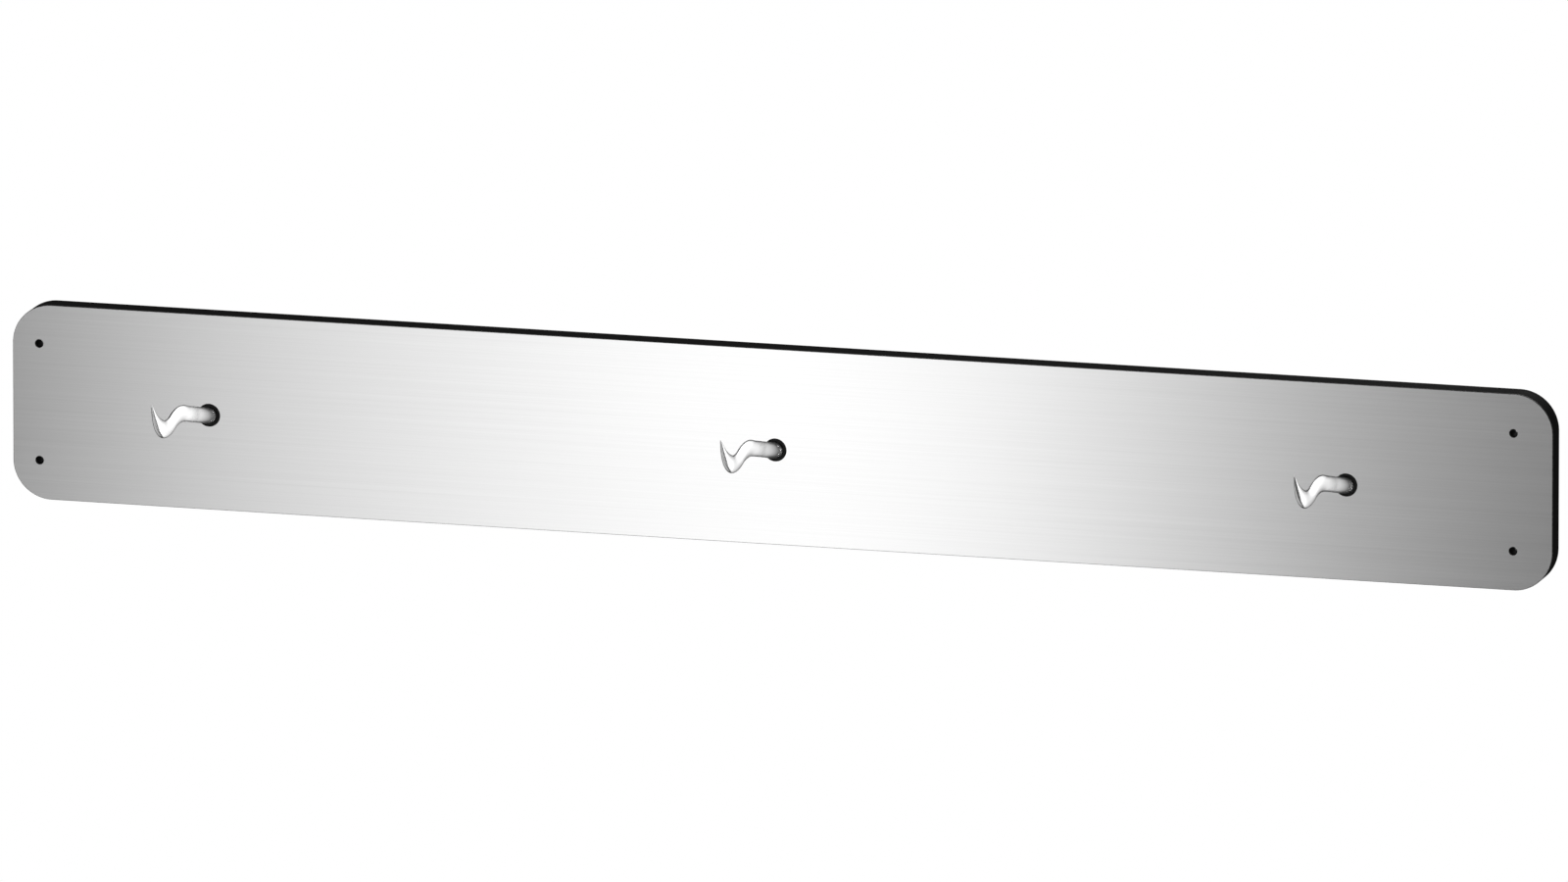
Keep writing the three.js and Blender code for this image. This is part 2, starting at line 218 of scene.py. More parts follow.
def brushed_sheet():
    """Stainless sheet brushed along X: long fine scratches, and a faint cloudiness."""
    n = Nodes("brushed_sheet")
    n.set(Metallic=1.0, Anisotropic=0.5, Anisotropic_Rotation=0.25)
    scratches = n.noise(n.scaled((9, 40, 2600)), detail=4, roughness=0.65)
    strokes = n.noise(n.scaled((3.2, 12, 620), place=(3, 1, 7)), detail=2)
    cloud = n.noise(n.scaled((5, 5, 9)), detail=2, roughness=0.4)
    tone = n.maths("ADD", n.maths("MULTIPLY", scratches, 0.6), n.maths("MULTIPLY", strokes, 0.4))
    n.feed("Base Color", n.blend(n.spread(tone, 0, 1), grey(0.60), grey(0.66)))
    rough = n.maths("ADD", n.spread(tone, 0.31, 0.35), n.spread(cloud, -0.008, 0.008))
    n.feed("Roughness", rough)
    n.feed("Normal", n.bump(scratches, 0.12, 0.02 * MM))
    return n.material


def cut_edge():
    """The sheet's cut edges and holes, darkened by the cut and then deburred."""
    n = Nodes("cut_edge")
    n.set(Metallic=1.0)
    ripple = n.noise(n.scaled((900, 900, 900)), detail=3)
    n.feed("Base Color", n.blend(ripple, grey(0.06), grey(0.1)))
    n.feed("Roughness", n.spread(ripple, 0.2, 0.32))
    n.feed("Normal", n.bump(ripple, 0.1, 0.02 * MM))
    return n.material


# Distances out from the face: where the hook goes from satin to polished, and from painted shade
# to its own bright colour, and where the cross-ground marks of its point set in.
SHADE_AND_POLISH_REACH = (8 * MM, 40 * MM)
POINT_GRINDING = (72 * MM, 86 * MM)


def hook_steel():
    """Bar that is satin at the panel and polished further out, with painted shade darkening its
    colour near the panel, and cross-ground at the point.
    """
    n = Nodes("hook_steel")
    n.set(Metallic=1.0, Specular_Tint=(0.13, 0.13, 0.13, 1))
    drawn = n.noise(n.scaled((1500, 25, 1500)), detail=3, roughness=0.6)
    ground = n.noise(n.scaled((300, 2400, 2400), turn=(0.7, 0, 0)), detail=3, roughness=0.6)
    near, far = (FACE_Y - reach for reach in POINT_GRINDING)
    ground_share = n.span(n.part("Y"), 0, 1, near, far)
    near, far = (FACE_Y - reach for reach in SHADE_AND_POLISH_REACH)
    shade_and_polish = n.span(n.part("Y"), 0, 1, near, far)
    mixed = n.add("ShaderNodeMix", data_type="FLOAT")
    n.link(ground_share, mixed.inputs["Factor"])
    n.link(drawn, mixed.inputs[2])
    n.link(ground, mixed.inputs[3])
    marks = mixed.outputs[0]
    haze = n.noise(n.scaled((60, 60, 60)), detail=2)
    bright = n.blend(n.spread(marks, 0, 1), grey(0.82), grey(0.88))
    # Painted shade: the bar's colour goes dark grey near the panel, standing in for shade there.
    n.feed("Base Color", n.blend(shade_and_polish, grey(0.18), bright))
    satin = n.maths("ADD", n.spread(marks, 0.12, 0.2), n.span(haze, 0, 0.05, 0.35, 0.65))
    n.feed("Roughness", n.maths("ADD", satin, n.span(shade_and_polish, 0.2, 0)))
    n.feed("Normal", n.bump(marks, 0.08, 0.02 * MM))
    return n.material


def black_board(name, tone, shine, tool_marks):
    """Black polyethylene: fine grain, pale scuffs, and cutter marks if milled."""
    n = Nodes(name)
    n.set(Specular_IOR_Level=shine)
    grain = n.noise(n.scaled((2200, 2200, 2200)), detail=3, roughness=0.6)
    scuff = n.noise(n.scaled((40, 160, 160)), detail=5, roughness=0.7)
    rubbed = n.span(scuff, 0, 1, 0.56, 0.8)
    n.feed("Base Color", n.blend(rubbed, grey(tone), grey(tone * 2.2)))
    rubbed_more = n.maths("MULTIPLY", rubbed, 0.1)
    n.feed("Roughness", n.maths("ADD", n.spread(grain, 0.48, 0.6), rubbed_more))
    relief = n.bump(grain, 0.25, 0.05 * MM)
    if tool_marks:
        passes = n.noise(n.scaled((1100, 3, 1100)), detail=1)
        relief = n.bump(passes, 0.2, 0.06 * MM, relief)
    n.feed("Normal", relief)
    return n.material


def turned_nylon():
    """Black nylon, faintly speckled and almost without shine."""
    n = Nodes("turned_nylon")
    n.set(Specular_IOR_Level=0.08)
    speck = n.noise(n.scaled((2600, 2600, 2600)), detail=2)
    n.feed("Base Color", n.blend(speck, grey(0.006), grey(0.011)))
    n.feed("Roughness", n.spread(speck, 0.34, 0.46))
    n.feed("Normal", n.bump(speck, 0.15, 0.03 * MM))
    return n.material


def zinc_plate():
    """Bright zinc over steel: cool grey with cloudy passivation."""
    n = Nodes("zinc_plate")
    n.set(Metallic=1.0)
    cloud = n.noise(n.scaled((420, 420, 420)), detail=4, roughness=0.6)
    n.feed("Base Color", n.blend(cloud, (0.5, 0.53, 0.56), (0.64, 0.66, 0.66)))
    n.feed("Roughness", n.spread(cloud, 0.24, 0.42))
    n.feed("Normal", n.bump(cloud, 0.15, 0.03 * MM))
    return n.material


def sintered_ferrite():
    """Dark grey sintered ferrite, matt and slightly pitted."""
    n = Nodes("sintered_ferrite")
    pits = n.noise(n.scaled((1500, 1500, 1500)), detail=4, roughness=0.7)
    n.feed("Base Color", n.blend(pits, grey(0.035), grey(0.07)))
    n.feed("Roughness", n.spread(pits, 0.6, 0.8))
    n.feed("Normal", n.bump(pits, 0.4, 0.08 * MM))
    return n.material


SHEET = brushed_sheet()
EDGE = cut_edge()
HOOK_STEEL = hook_steel()
BODY_BLACK = black_board("milled_black_board", 0.005, 0.04, True)
COVER_BLACK = black_board("black_cover_sheet", 0.02, 0.4, False)
NYLON = turned_nylon()
ZINC = zinc_plate()
FERRITE = sintered_ferrite()


# ---------------------------------------------------------------- mesh builders


def finish_piece(name, bm, materials, nodes):
    """The finished piece: a closed mesh in the row frame, riding on the rack."""
    bmesh.ops.remove_doubles(bm, verts=bm.verts, dist=WELD)
    bmesh.ops.recalc_face_normals(bm, faces=bm.faces)
    mesh = bpy.data.meshes.new(name)
    bm.to_mesh(mesh)
    bm.free()
    piece = bpy.data.objects.new(name, mesh)
    bpy.context.scene.collection.objects.link(piece)
    for material in materials:
        mesh.materials.append(material)
    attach(piece, "root")
    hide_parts(*nodes)
    return piece


def join_rings(bm, rings, material=0, smooth=True):
    """Quads between neighbouring closed rings of the same length."""
    for first, second in zip(rings, rings[1:]):
        for i, corner in enumerate(first):
            after = (i + 1) % len(first)
            face = bm.faces.new((corner, first[after], second[after], second[i]))
            face.smooth = smooth
            face.material_index = material


def flat_cap(bm, rings, keep):
    """Fills between rings that lie in one X-Z plane. keep(x, z) says what is solid."""
    corners, edges = [], []
    for ring in rings:
        start = len(corners)
        corners += ring
        edges += [(start + i, start + (i + 1) % len(ring)) for i in range(len(ring))]
    flat = [Vector((v.co.x, v.co.z)) for v in corners]
    out, _, triangles, source, _, _ = delaunay_2d_cdt(flat, edges, [], 1, SAME_POINT)
    for triangle in triangles:
        middle = sum((Vector(out[i]) for i in triangle), Vector((0, 0))) / 3
        if keep(middle.x, middle.y):
            face = bm.faces.new([corners[source[i][0]] for i in triangle])
            face.smooth = False


def rounded_outline(low, high, corner, inset):
    """Points round a rounded rectangle in X-Z, drawn in by inset."""
    points = []
    radius = corner - inset
    for quarter, (x, z) in enumerate(
        (
            (high.x - corner, high.z - corner),
            (low.x + corner, high.z - corner),
            (low.x + corner, low.z + corner),
            (high.x - corner, low.z + corner),
        )
    ):
        for i in range(CORNER_STEPS + 1):
            angle = (quarter + i / CORNER_STEPS) * TAU / 4
            points.append((x + radius * math.cos(angle), z + radius * math.sin(angle)))
    return points


def around(x, z, radius_at, sides):
    """Points round (x, z), where radius_at(i) is the radius at corner i."""
    points = []
    for i in range(sides):
        angle, radius = TAU * i / sides, radius_at(i)
        points.append((x + radius * math.cos(angle), z + radius * math.sin(angle)))
    return points


def circle(x, z, radius, sides=ROUND_SIDES):
    return around(x, z, lambda i: radius, sides)


def ring_of(bm, points, y):
    return [bm.verts.new((x, y, z)) for x, z in points]


def eased(front, back, ease):
    """(inset, y) down the edge of a sheet whose two corners are rounded by ease."""
    rows = []
    for end, sign in ((front, 1), (back, -1)):
        quarter = []
        for i in range(EASE_STEPS + 1):
            angle = TAU / 4 * i / EASE_STEPS
            inset, drop = ease * (1 - math.sin(angle)), ease * (1 - math.cos(angle))
            quarter.append((inset, end + sign * drop))
        rows += quarter if sign == 1 else quarter[::-1]
    return rows


INSIDE = 0.999  # share of a hole's radius that surely lies inside its ring of flat sides


def perforated_sheet(name, low, high, corner, ease, holes, materials, nodes):
    """A flat sheet with eased edges. holes lists (x, z, [(radius, y), ...]). The last material is
    the one of its edges."""
    bm = bmesh.new()
    outer = [
        ring_of(bm, rounded_outline(low, high, corner, inset), y)
        for inset, y in eased(low.y, high.y, ease)
    ]
    join_rings(bm, outer, material=len(materials) - 1)
    fronts, backs = [outer[0]], [outer[-1]]
    for x, z, rows in holes:
        rings = [ring_of(bm, circle(x, z, radius), y) for radius, y in rows]
        join_rings(bm, rings, material=len(materials) - 1)
        fronts.append(rings[0])
        backs.append(rings[-1])

    def solid(end):
        def keep(px, pz):
            return all(math.hypot(px - x, pz - z) > rows[end][0] * INSIDE for x, z, rows in holes)

        return keep

    flat_cap(bm, fronts, solid(0))
    flat_cap(bm, backs, solid(-1))
    return finish_piece(name, bm, materials, nodes)


def eased_hole(radius, front, back, ease):
    return [(radius + inset, y) for inset, y in eased(front, back, ease)]


def close_to(bm, ring, place, smooth):
    """Closes a ring with triangles to one vertex at place."""
    middle = bm.verts.new(place)
    for i, corner in enumerate(ring):
        bm.faces.new((corner, ring[(i + 1) % len(ring)], middle)).smooth = smooth


# ---------------------------------------------------------------- face sheet, cover, bushes


def centre_of(node):
    low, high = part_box(node)
    return (low.x + high.x) / 2, (low.z + high.z) / 2


hook_centres = {side: centre_of(f"hook_bush_{side}") for side in HOOKS}
screw_centres = {i: centre_of(f"cover_screw_{i}") for i in range(1, SCREW_COUNT + 1)}
wall_screws = next(mount for mount in frame["record"]["mounts"] if mount["name"] == "wall_screws")
wall_holes = [
    (wall_screws["pos_m"][0] + side * WALL_HOLE_SPAN / 2, level * WALL_HOLE_RISE / 2)
    for side in (-1, 1)
    for level in (-1, 1)
]

screw_hole = eased_hole(WALL_HOLE_RADIUS, plate_low.y, plate_high.y, SHEET_HOLE_EASE)
hook_hole = eased_hole(HOOK_HOLE_RADIUS, plate_low.y, plate_high.y, SHEET_HOLE_EASE)
sheet_holes = [(x, z, screw_hole) for x, z in wall_holes]
sheet_holes += [(x, z, hook_hole) for x, z in hook_centres.values()]
perforated_sheet(
    "face_sheet",
    plate_low,
    plate_high,
    CORNER,
    SHEET_EASE,
    sheet_holes,
    [SHEET, EDGE],
    ["front_plate"],
)

screw_bore = eased_hole(WALL_BORE_RADIUS, cover_low.y, cover_high.y, COVER_HOLE_EASE)
countersink = [(SINK_THROAT, cover_low.y), (SINK_THROAT, -SINK_DEPTH), (SINK_RADIUS, cover_high.y)]
cover_holes = [(x, z, screw_bore) for x, z in wall_holes]
cover_holes += [(x, z, countersink) for x, z in screw_centres.values()]
perforated_sheet(
    "rear_cover_sheet",
    cover_low,
    cover_high,
    COVER_CORNER,
    COVER_EASE,
    cover_holes,
    [COVER_BLACK],
    ["rear_cover"],
)


# The bush in millimetres. lip is the rounding of its edges.
BUSH = {"bore": 4.1, "groove": 4.78, "nose": 5.65, "flange": 7.5, "nose_length": 1.1, "lip": 0.1}


def bush(side):
    """Flanged bush with rounded lips and a shallow turned groove on its nose."""
    x, z = hook_centres[side]
    low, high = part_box(f"hook_bush_{side}")
    front, back = low.y / MM, high.y / MM
    bore, groove, nose = BUSH["bore"], BUSH["groove"], BUSH["nose"]
    wide, lip = BUSH["flange"], BUSH["lip"]
    flange = front + BUSH["nose_length"]
    profile = [
        (bore, front + 3 * lip),
        (bore + 0.8 * lip, front + lip),
        (bore + 2.5 * lip, front),
        (groove - 0.8 * lip, front),
        (groove, front + lip / 2),
        (groove + 0.8 * lip, front),
        (nose - 2 * lip, front),
        (nose - lip / 2, front + 0.6 * lip),
        (nose, front + 2 * lip),
        (nose, flange),
        (wide - lip, flange),
        (wide, flange + lip),
        (wide, back - lip),
        (wide - lip, back),
        (bore, back),
    ]
    bm = bmesh.new()
    rings = [ring_of(bm, circle(x, z, r * MM, BUSH_SIDES), y * MM) for r, y in profile]
    join_rings(bm, rings + [rings[0]])
    return finish_piece(f"turned_bush_{side}", bm, [NYLON], [f"hook_bush_{side}"])


for side in HOOKS:
    bush(side)


# ---------------------------------------------------------------- hooks


def smooth_step(value, start, end):
    share = min(1.0, max(0.0, (value - start) / (end - start)))
    return share * share * (3 - 2 * share)


def hook_stations(shoulder):
    """(forward, up, heading) along the bar in millimetres, forward counted from the face."""
    forward, up, heading = shoulder, 0.0, 0.0
    stations = [(forward, up, heading)]
    for move, count in HOOK_BENDS:
        start = (forward, up, heading)
        for i in range(1, count + 1):
            share = i / count
            if isinstance(move, tuple):
                radius, turn = move[0], math.radians(move[1])
                radius = math.copysign(radius, turn)
                heading = start[2] + turn * share
                forward = start[0] + radius * (math.sin(heading) - math.sin(start[2]))
                up = start[1] + radius * (math.cos(start[2]) - math.cos(heading))
            else:
                forward = start[0] + move * share * math.cos(heading)
                up = start[1] + move * share * math.sin(heading)
            stations.append((forward, up, heading))
    return stations


def hook(side):
    """The bar from its shoulder to its point, with a square neck and a threaded end behind."""
    x, z = hook_centres[side]
    bm = bmesh.new()
    stations = hook_stations(-HOOK_BENDS[0][0])
    travelled = [0.0]
    for a, b in zip(stations, stations[1:]):
        travelled.append(travelled[-1] + math.hypot(b[0] - a[0], b[1] - a[1]))
    total = travelled[-1]
    rings = []
    for (forward, up, heading), along in zip(stations, travelled):
        into = max(0.0, (along - total + POINT_LENGTH) / POINT_LENGTH)
        flat = smooth_step(along, *FLATTEN)
        half = HOOK_RADIUS + (HOOK_HALF_WIDTH - HOOK_RADIUS) * flat
        body = HOOK_RADIUS + (TROUGH_HALF_HEIGHT - HOOK_RADIUS) * smooth_step(along, *SWELL)
        tall = body + (TIP_RADIUS - body) * into ** POINT_POWER["tall"]
        wide = half + (TIP_RADIUS - half) * into ** POINT_POWER["wide"]
        if along == total:
            wide, tall = wide * TIP_ROUNDING, tall * TIP_ROUNDING
        rings.append(section(bm, x, z, forward, up, heading, wide, tall))
    join_rings(bm, rings)
    forward, up, _ = stations[-1]
    close_to(bm, rings[-1], (x, FACE_Y - forward * MM, z + up * MM), smooth=True)
    stud(bm, x, z, rings[0])
    return finish_piece(
        f"bent_hook_{side}", bm, [HOOK_STEEL], [f"hook_{side}"]
    )


def section(bm, x, z, forward, up, heading, wide, tall):
    """An oval ring across the bar."""
    ring = []
    for k in range(ROUND_SIDES):
        angle = TAU * k / ROUND_SIDES
        across, normal = wide * math.cos(angle), tall * math.sin(angle)
        y = FACE_Y + (normal * math.sin(heading) - forward) * MM
        ring.append(bm.verts.new((x + across * MM, y, z + (up + normal * math.cos(heading)) * MM)))
    return ring


# Square neck and thread in millimetres. runout is the length over which the thread fades out.
STUD = {
    "neck": 2.05,
    "side": 3.0,
    "crest": 2.95,
    "root": 2.45,
    "pitch": 1.0,
    "runout": 0.6,
    "end": -2.35,
}


def squared(k):
    """Radius of the neck at corner k: a square bar with its corners left from the round."""
    angle = TAU * k / ROUND_SIDES
    flat = STUD["side"] / max(abs(math.cos(angle)), abs(math.sin(angle)))
    return min(flat, HOOK_RADIUS) * MM


def stud(bm, x, z, shoulder):
    """Square neck and helical thread, from the shoulder ring back towards the wall."""
    start = shoulder[0].co.y / MM
    neck_end = start + STUD["neck"]
    depth = STUD["crest"] - STUD["root"]
    neck = around(x, z, squared, ROUND_SIDES)
    rings = [shoulder, ring_of(bm, neck, start * MM), ring_of(bm, neck, neck_end * MM)]
    y = neck_end
    while y < STUD["end"] - LAST_RING:
        fade = min(1.0, (STUD["end"] - y) / STUD["runout"])

        def thread(k):
            phase = ((y - neck_end) / STUD["pitch"] - k / ROUND_SIDES) % 1.0
            crest = 1 - abs(2 * phase - 1)
            return (STUD["root"] + depth * crest * fade) * MM

        rings.append(ring_of(bm, around(x, z, thread, ROUND_SIDES), y * MM))
        y += STUD["pitch"] / THREAD_STEPS
    rings.append(ring_of(bm, circle(x, z, STUD["root"] * MM), STUD["end"] * MM))
    join_rings(bm, rings)
    close_to(bm, rings[-1], (x, STUD["end"] * MM, z), smooth=False)


for side in HOOKS:
    hook(side)


# ---------------------------------------------------------------- cover screws

# The screw in millimetres. ridge is half the thread's width as a share of its pitch. The point is
# taper long and narrows to the share least. Its rings stop before the tip, none nearer than tip.
SCREW = {
    "head": 2.75,
    "edge": 0.12,
    "cone": 1.45,
    "core": 1.05,
    "crest": 1.4,
    "pitch": 1.1,
    "ridge": 0.22,
    "taper": 1.9,
    "least": 0.08,
    "stop": 0.05,
    "tip": 0.02,
}
RECESS = {"span": 1.45, "slot": 0.34, "floor_span": 0.55, "floor_slot": 0.2, "depth": 1.0}
LEAD_IN = 1.5  # how far the cross's inner corners are cut back, in slot half-widths


def cross(x, z, span, slot):
    """Outline of a cross in X-Z, with a little lead-in at its inner corners."""
    turn = slot * LEAD_IN
    arm = [(span, -slot), (span, slot), (turn, slot), (slot, turn)]
    points = []
    for quarter in range(4):
        angle = quarter * TAU / 4
        c, s = round(math.cos(angle)), round(math.sin(angle))
        for px, pz in arm:
            points.append((x + (c * px - s * pz) * MM, z + (s * px + c * pz) * MM))
    return points


def cover_screw(i):
    """Countersunk cross-recess screw with a rolled thread."""
    x, z = screw_centres[i]
    low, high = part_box(f"cover_screw_{i}")
    top, tip = high.y / MM, low.y / MM
    shank_start = top - SCREW["cone"]
    profile = [
        (SCREW["head"] - SCREW["edge"], top),
        (SCREW["head"], top - SCREW["edge"]),
        (SCREW["crest"], shank_start),
    ]
    bm = bmesh.new()
    rings = [ring_of(bm, circle(x, z, r * MM), y * MM) for r, y in profile]
    depth = SCREW["crest"] - SCREW["core"]
    y = shank_start
    while y > tip + SCREW["stop"]:
        y -= SCREW["pitch"] / THREAD_STEPS
        taper = min(1.0, max(SCREW["least"], (y - tip) / SCREW["taper"]))

        def thread(k):
            phase = ((shank_start - y) / SCREW["pitch"] - k / ROUND_SIDES) % 1.0
            crest = max(0.0, 1 - abs(phase - 0.5) / SCREW["ridge"])
            return (SCREW["core"] + depth * crest) * taper * MM

        level = max(y, tip + SCREW["tip"]) * MM
        rings.append(ring_of(bm, around(x, z, thread, ROUND_SIDES), level))
    join_rings(bm, rings)
    close_to(bm, rings[-1], (x, tip * MM, z), smooth=True)
    span, slot = RECESS["span"], RECESS["slot"]
    bottom = cross(x, z, RECESS["floor_span"], RECESS["floor_slot"])
    mouth = ring_of(bm, cross(x, z, span, slot), top * MM)
    floor = ring_of(bm, bottom, (top - RECESS["depth"]) * MM)
    join_rings(bm, [mouth, floor], smooth=False)

    def outside_cross(px, pz):
        dx, dz = abs(px - x) / MM, abs(pz - z) / MM
        in_arms = (dx < span and dz < slot) or (dz < span and dx < slot)
        turn = slot * LEAD_IN
        in_corners = dx < turn and dz < turn and dx + dz < slot + turn
        return not (in_arms or in_corners)

    flat_cap(bm, [rings[0], mouth], outside_cross)
    flat_cap(bm, [floor], lambda px, pz: True)
    return finish_piece(f"cross_screw_{i}", bm, [ZINC], [f"cover_screw_{i}"])


for i in range(1, SCREW_COUNT + 1):
    cover_screw(i)


# ---------------------------------------------------------------- CAD nodes that stay


SHARP_ANGLE = math.radians(30)
BEVEL_ANGLE = math.radians(40)


def dress(node, material, bevel=0.0):
    """Gives a CAD node its material, and rounds its sharp edges by bevel."""
    piece = frame["nodes"][node]
    piece.data.materials.clear()
    piece.data.materials.append(material)
    for polygon in piece.data.polygons:
        polygon.use_smooth = True
    piece.data.set_sharp_from_angle(angle=SHARP_ANGLE)
    if bevel:
        modifier = piece.modifiers.new("eased_edges", "BEVEL")
        modifier.width = bevel
        modifier.segments = 2
        modifier.limit_method = "ANGLE"
        modifier.angle_limit = BEVEL_ANGLE


dress("magnet_body", BODY_BLACK, BODY_EASE)
for node in frame["nodes"]:
    if node.startswith("magnet_") and node != "magnet_body":
        dress(node, FERRITE)
    elif node.startswith(("keeper_bar_", "hook_anchor_", "lock_washer_", "hook_nut_")):
        dress(node, ZINC)


# ---------------------------------------------------------------- floor, light and camera

FLOOR_HEIGHT = -0.8
FLOOR_SIZE = 40.0
FLOOR_BOUNCE = 0.3

# The room's glow in reflections, behind the rack and in front of it, and the directions in Y
# between which one goes over into the other. Both are the same now.
ROOM_BEHIND, ROOM_FRONT = 0.11, 0.11
ROOM_TURNS = (0.3, -0.6)


def seen_or_felt(tree, felt, seen, output):
    """Shows seen to the camera and felt to every other ray."""
    paths = tree.nodes.new("ShaderNodeLightPath")
    mix = tree.nodes.new("ShaderNodeMixShader")
    tree.links.new(paths.outputs["Is Camera Ray"], mix.inputs["Fac"])
    tree.links.new(felt.outputs[0], mix.inputs[1])
    tree.links.new(seen.outputs[0], mix.inputs[2])
    tree.links.new(mix.outputs["Shader"], output.inputs["Surface"])


def floor_material():
    """White to the eye, and a soft grey bounce for everything else."""
    material = bpy.data.materials.new("pale_floor")
    material.use_nodes = True
    tree = material.node_tree
    tree.nodes.clear()
    bounce = tree.nodes.new("ShaderNodeBsdfDiffuse")
    bounce.inputs["Color"].default_value = (*grey(FLOOR_BOUNCE), 1)
    seen = tree.nodes.new("ShaderNodeEmission")
    seen_or_felt(tree, bounce, seen, tree.nodes.new("ShaderNodeOutputMaterial"))
    return material


def make_floor():
    mesh = bpy.data.meshes.new("floor")
    half = FLOOR_SIZE / 2
    corners = [(-half, -half), (half, -half), (half, half), (-half, half)]
    mesh.from_pydata([(x, y, FLOOR_HEIGHT) for x, y in corners], [], [(0, 1, 2, 3)])
    mesh.materials.append(floor_material())
    floor = bpy.data.objects.new("floor", mesh)
    floor.visible_glossy = False
    bpy.context.scene.collection.objects.link(floor)


def make_world():
    """White behind the object, and a dim room in its reflections."""
    world = bpy.data.worlds.new("studio")
    bpy.context.scene.world = world
    world.use_nodes = True
    tree = world.node_tree
    tree.nodes.clear()
    where = tree.nodes.new("ShaderNodeTexCoord")
    split = tree.nodes.new("ShaderNodeSeparateXYZ")
    room = tree.nodes.new("ShaderNodeMapRange")
    room.inputs["From Min"].default_value, room.inputs["From Max"].default_value = ROOM_TURNS
    room.inputs["To Min"].default_value = ROOM_BEHIND
    room.inputs["To Max"].default_value = ROOM_FRONT
    felt = tree.nodes.new("ShaderNodeBackground")
    seen = tree.nodes.new("ShaderNodeBackground")
    for background in (felt, seen):
        background.inputs["Color"].default_value = (1, 1, 1, 1)
    tree.links.new(where.outputs["Generated"], split.inputs["Vector"])
    tree.links.new(split.outputs["Y"], room.inputs["Value"])
    tree.links.new(room.outputs["Result"], felt.inputs["Strength"])
    seen_or_felt(tree, felt, seen, tree.nodes.new("ShaderNodeOutputWorld"))


def soft_light(name, place, target, size, power, profile=()):
    """A rectangular softbox at place, facing target. profile lists (share of width, brightness)."""
    data = bpy.data.lights.new(name, "AREA")
    data.shape = "RECTANGLE"
    data.size, data.size_y = size
    data.energy = power
    if profile:
        data.use_nodes = True
        tree = data.node_tree
        glow = next(node for node in tree.nodes if node.type == "EMISSION")
        where = tree.nodes.new("ShaderNodeNewGeometry")
        split = tree.nodes.new("ShaderNodeSeparateXYZ")
        ramp = tree.nodes.new("ShaderNodeValToRGB")
        while len(ramp.color_ramp.elements) > 1:
            ramp.color_ramp.elements.remove(ramp.color_ramp.elements[-1])
        for i, (share, level) in enumerate(profile):
            stop = ramp.color_ramp.elements[0] if i == 0 else ramp.color_ramp.elements.new(share)
            stop.position = share
            stop.color = (level, level, level, 1)
        tree.links.new(where.outputs["Parametric"], split.inputs["Vector"])
        tree.links.new(split.outputs["X"], ramp.inputs["Fac"])
        tree.links.new(ramp.outputs["Color"], glow.inputs["Color"])
    lamp = bpy.data.objects.new(name, data)
    lamp.location = place
    direction = Vector(target) - Vector(place)
    lamp.rotation_mode = "QUATERNION"
    lamp.rotation_quaternion = direction.to_track_quat("-Z", "Y")
    lamp.visible_camera = False
    bpy.context.scene.collection.objects.link(lamp)
    return lamp


AZIMUTH, ELEVATION = math.radians(15.854), math.radians(12.475)
LENS, SENSOR = 900.0, 36.0
FRAME_WIDTH = 0.78386
AIM_RIGHT, AIM_UP = 0.00268, 0.00312

back = Vector(
    (
        math.sin(AZIMUTH) * math.cos(ELEVATION),
        -math.cos(AZIMUTH) * math.cos(ELEVATION),
        math.sin(ELEVATION),
    )
)
right = Vector((math.cos(AZIMUTH), math.sin(AZIMUTH), 0))
upward = back.cross(right)
face_centre = Vector((0, FACE_Y, 0))
mirrored = Vector((-back.x, back.y, -back.z))


def make_camera():
    data = bpy.data.cameras.new("camera")
    data.lens, data.sensor_width = LENS, SENSOR
    camera = bpy.data.objects.new("camera", data)
    distance = FRAME_WIDTH * LENS / SENSOR
    aim = face_centre + right * AIM_RIGHT + upward * AIM_UP
    camera.location = aim + back * distance
    camera.rotation_mode = "QUATERNION"
    camera.rotation_quaternion = (-back).to_track_quat("-Z", "Y")
    data.clip_start, data.clip_end = 1.0, 100.0
    bpy.context.scene.collection.objects.link(camera)
    bpy.context.scene.camera = camera


# The strip is the softbox that the camera sees mirrored in the face. Its profile gives the sweep
# from grey through white to grey along the rack.
STRIP = {"distance": 1.0, "size": (1.6, 1.6), "power": 18.2}
STRIP_PROFILE = ((0.22, 0.0), (0.34, 0.57), (0.42, 0.59), (0.5, 1.0), (0.58, 0.72), (0.71, 0.0))

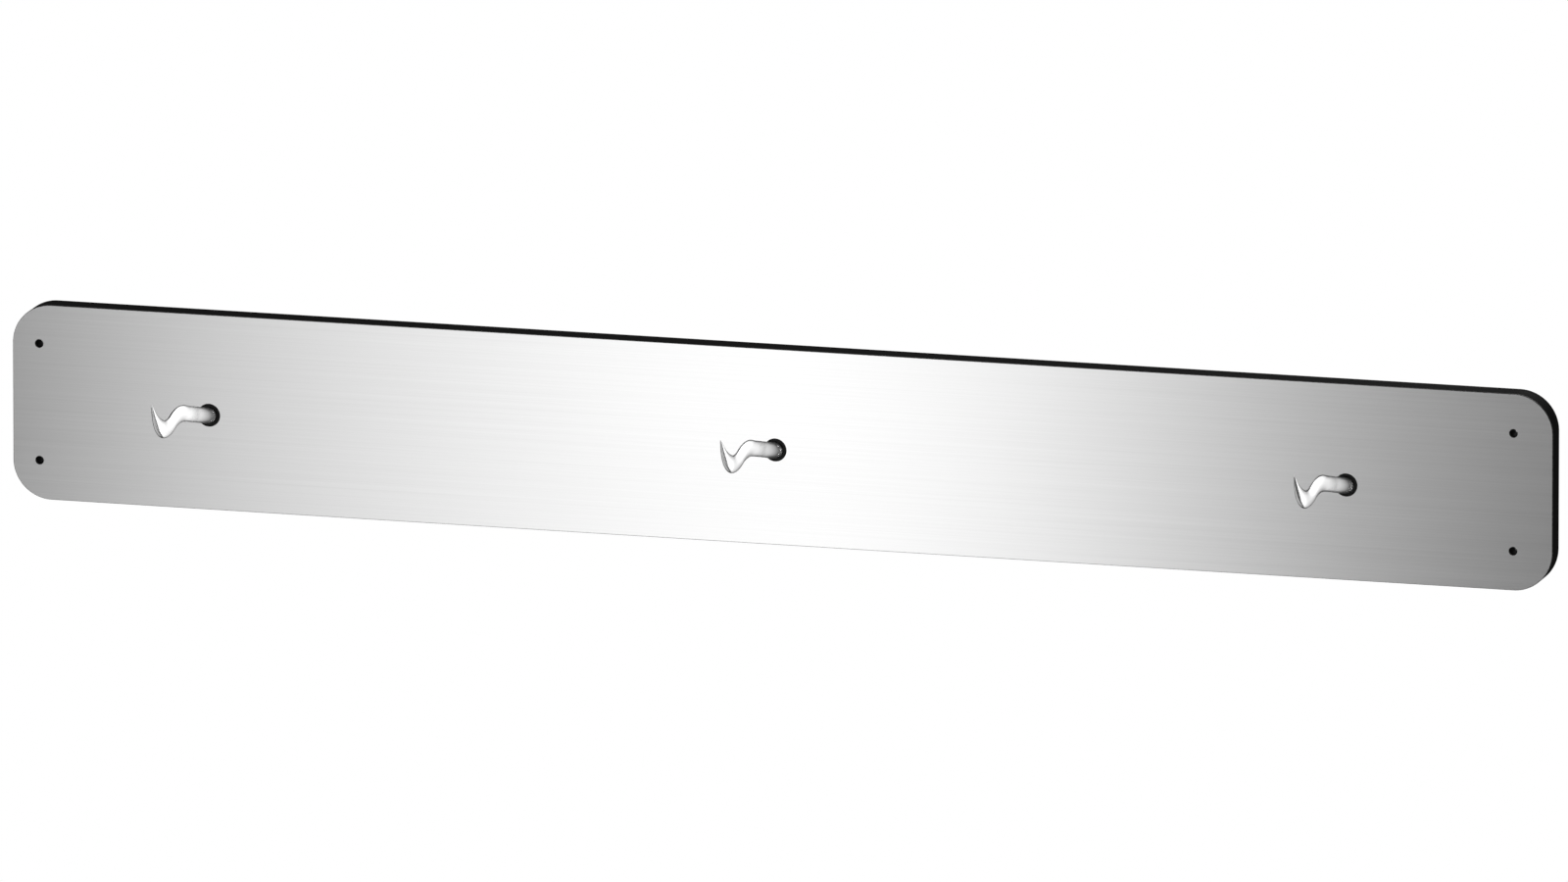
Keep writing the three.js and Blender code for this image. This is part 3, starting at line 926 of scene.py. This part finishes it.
# Softboxes for the whole rack: place, size and power. All of them face the origin.
SOFTBOXES = {
    "hook_fill": ((1.2, -2.8, -0.25), (1.4, 2.4), 19),
    "overhead": ((0.1, -0.9, 1.7), (2.2, 0.9), 12),
    "side_left": ((-2.0, -1.1, 0.5), (0.8, 1.6), 4),
    "side_right": ((2.2, -0.6, 0.6), (0.8, 1.6), 3),
    "rear": ((0.56, 1.54, 1.25), (1.6, 1.0), 7),
}

# Cards beside each hook that light nothing but the hooks. The side card lies flat on the face to
# the right of the bar, and the low card lies under the trough and faces up.
SIDE_CARD = {"offset": Vector((0.0397, -0.0005, 0.018)), "size": (0.0706, 0.145), "power": 0.066}
SIDE_CARD_PROFILE = ((0.0, 0.0), (0.15, 1.0), (0.98, 1.0), (1.0, 0.0))
LOW_CARD = {"offset": Vector((-0.04, -0.072, -0.142)), "size": (0.26, 0.26), "power": 0.1}


def softbox(name):
    place, size, power = SOFTBOXES[name]
    soft_light(name, place, (0, 0, 0), size, power)


def light_face(hooks):
    """The strip, which the hooks don't block."""
    place = face_centre + mirrored * STRIP["distance"]
    strip = soft_light("strip", place, face_centre, STRIP["size"], STRIP["power"], STRIP_PROFILE)
    blockers = bpy.data.collections.new("strip_blockers")
    for hook_piece in hooks.values():
        blockers.objects.link(hook_piece)
    strip.light_linking.blocker_collection = blockers
    for entry in blockers.collection_objects:
        entry.light_linking.link_state = "EXCLUDE"


def light_hooks(hooks):
    """Two cards by each hook. The hooks are left out of the face's reflections."""
    hooks_only = bpy.data.collections.new("hooks_only")
    for side, hook_piece in hooks.items():
        hook_piece.visible_glossy = False
        hooks_only.objects.link(hook_piece)
        x, z = hook_centres[side]
        root = Vector((x, FACE_Y, z))
        for name, card, facing, profile in (
            ("card", SIDE_CARD, Vector((0, -1, 0)), SIDE_CARD_PROFILE),
            ("low_card", LOW_CARD, Vector((0, 0, 1)), ()),
        ):
            place = root + card["offset"]
            lamp = soft_light(
                f"{name}_{side}", place, place + facing, card["size"], card["power"], profile
            )
            lamp.light_linking.receiver_collection = hooks_only


make_floor()
make_world()
make_camera()
bent_hooks = {side: bpy.data.objects[f"bent_hook_{side}"] for side in HOOKS}
light_face(bent_hooks)
softbox("hook_fill")
light_hooks(bent_hooks)
for name in ("overhead", "side_left", "side_right", "rear"):
    softbox(name)

bpy.context.scene.view_settings.view_transform = "Standard"
bpy.context.scene.view_settings.look = "None"
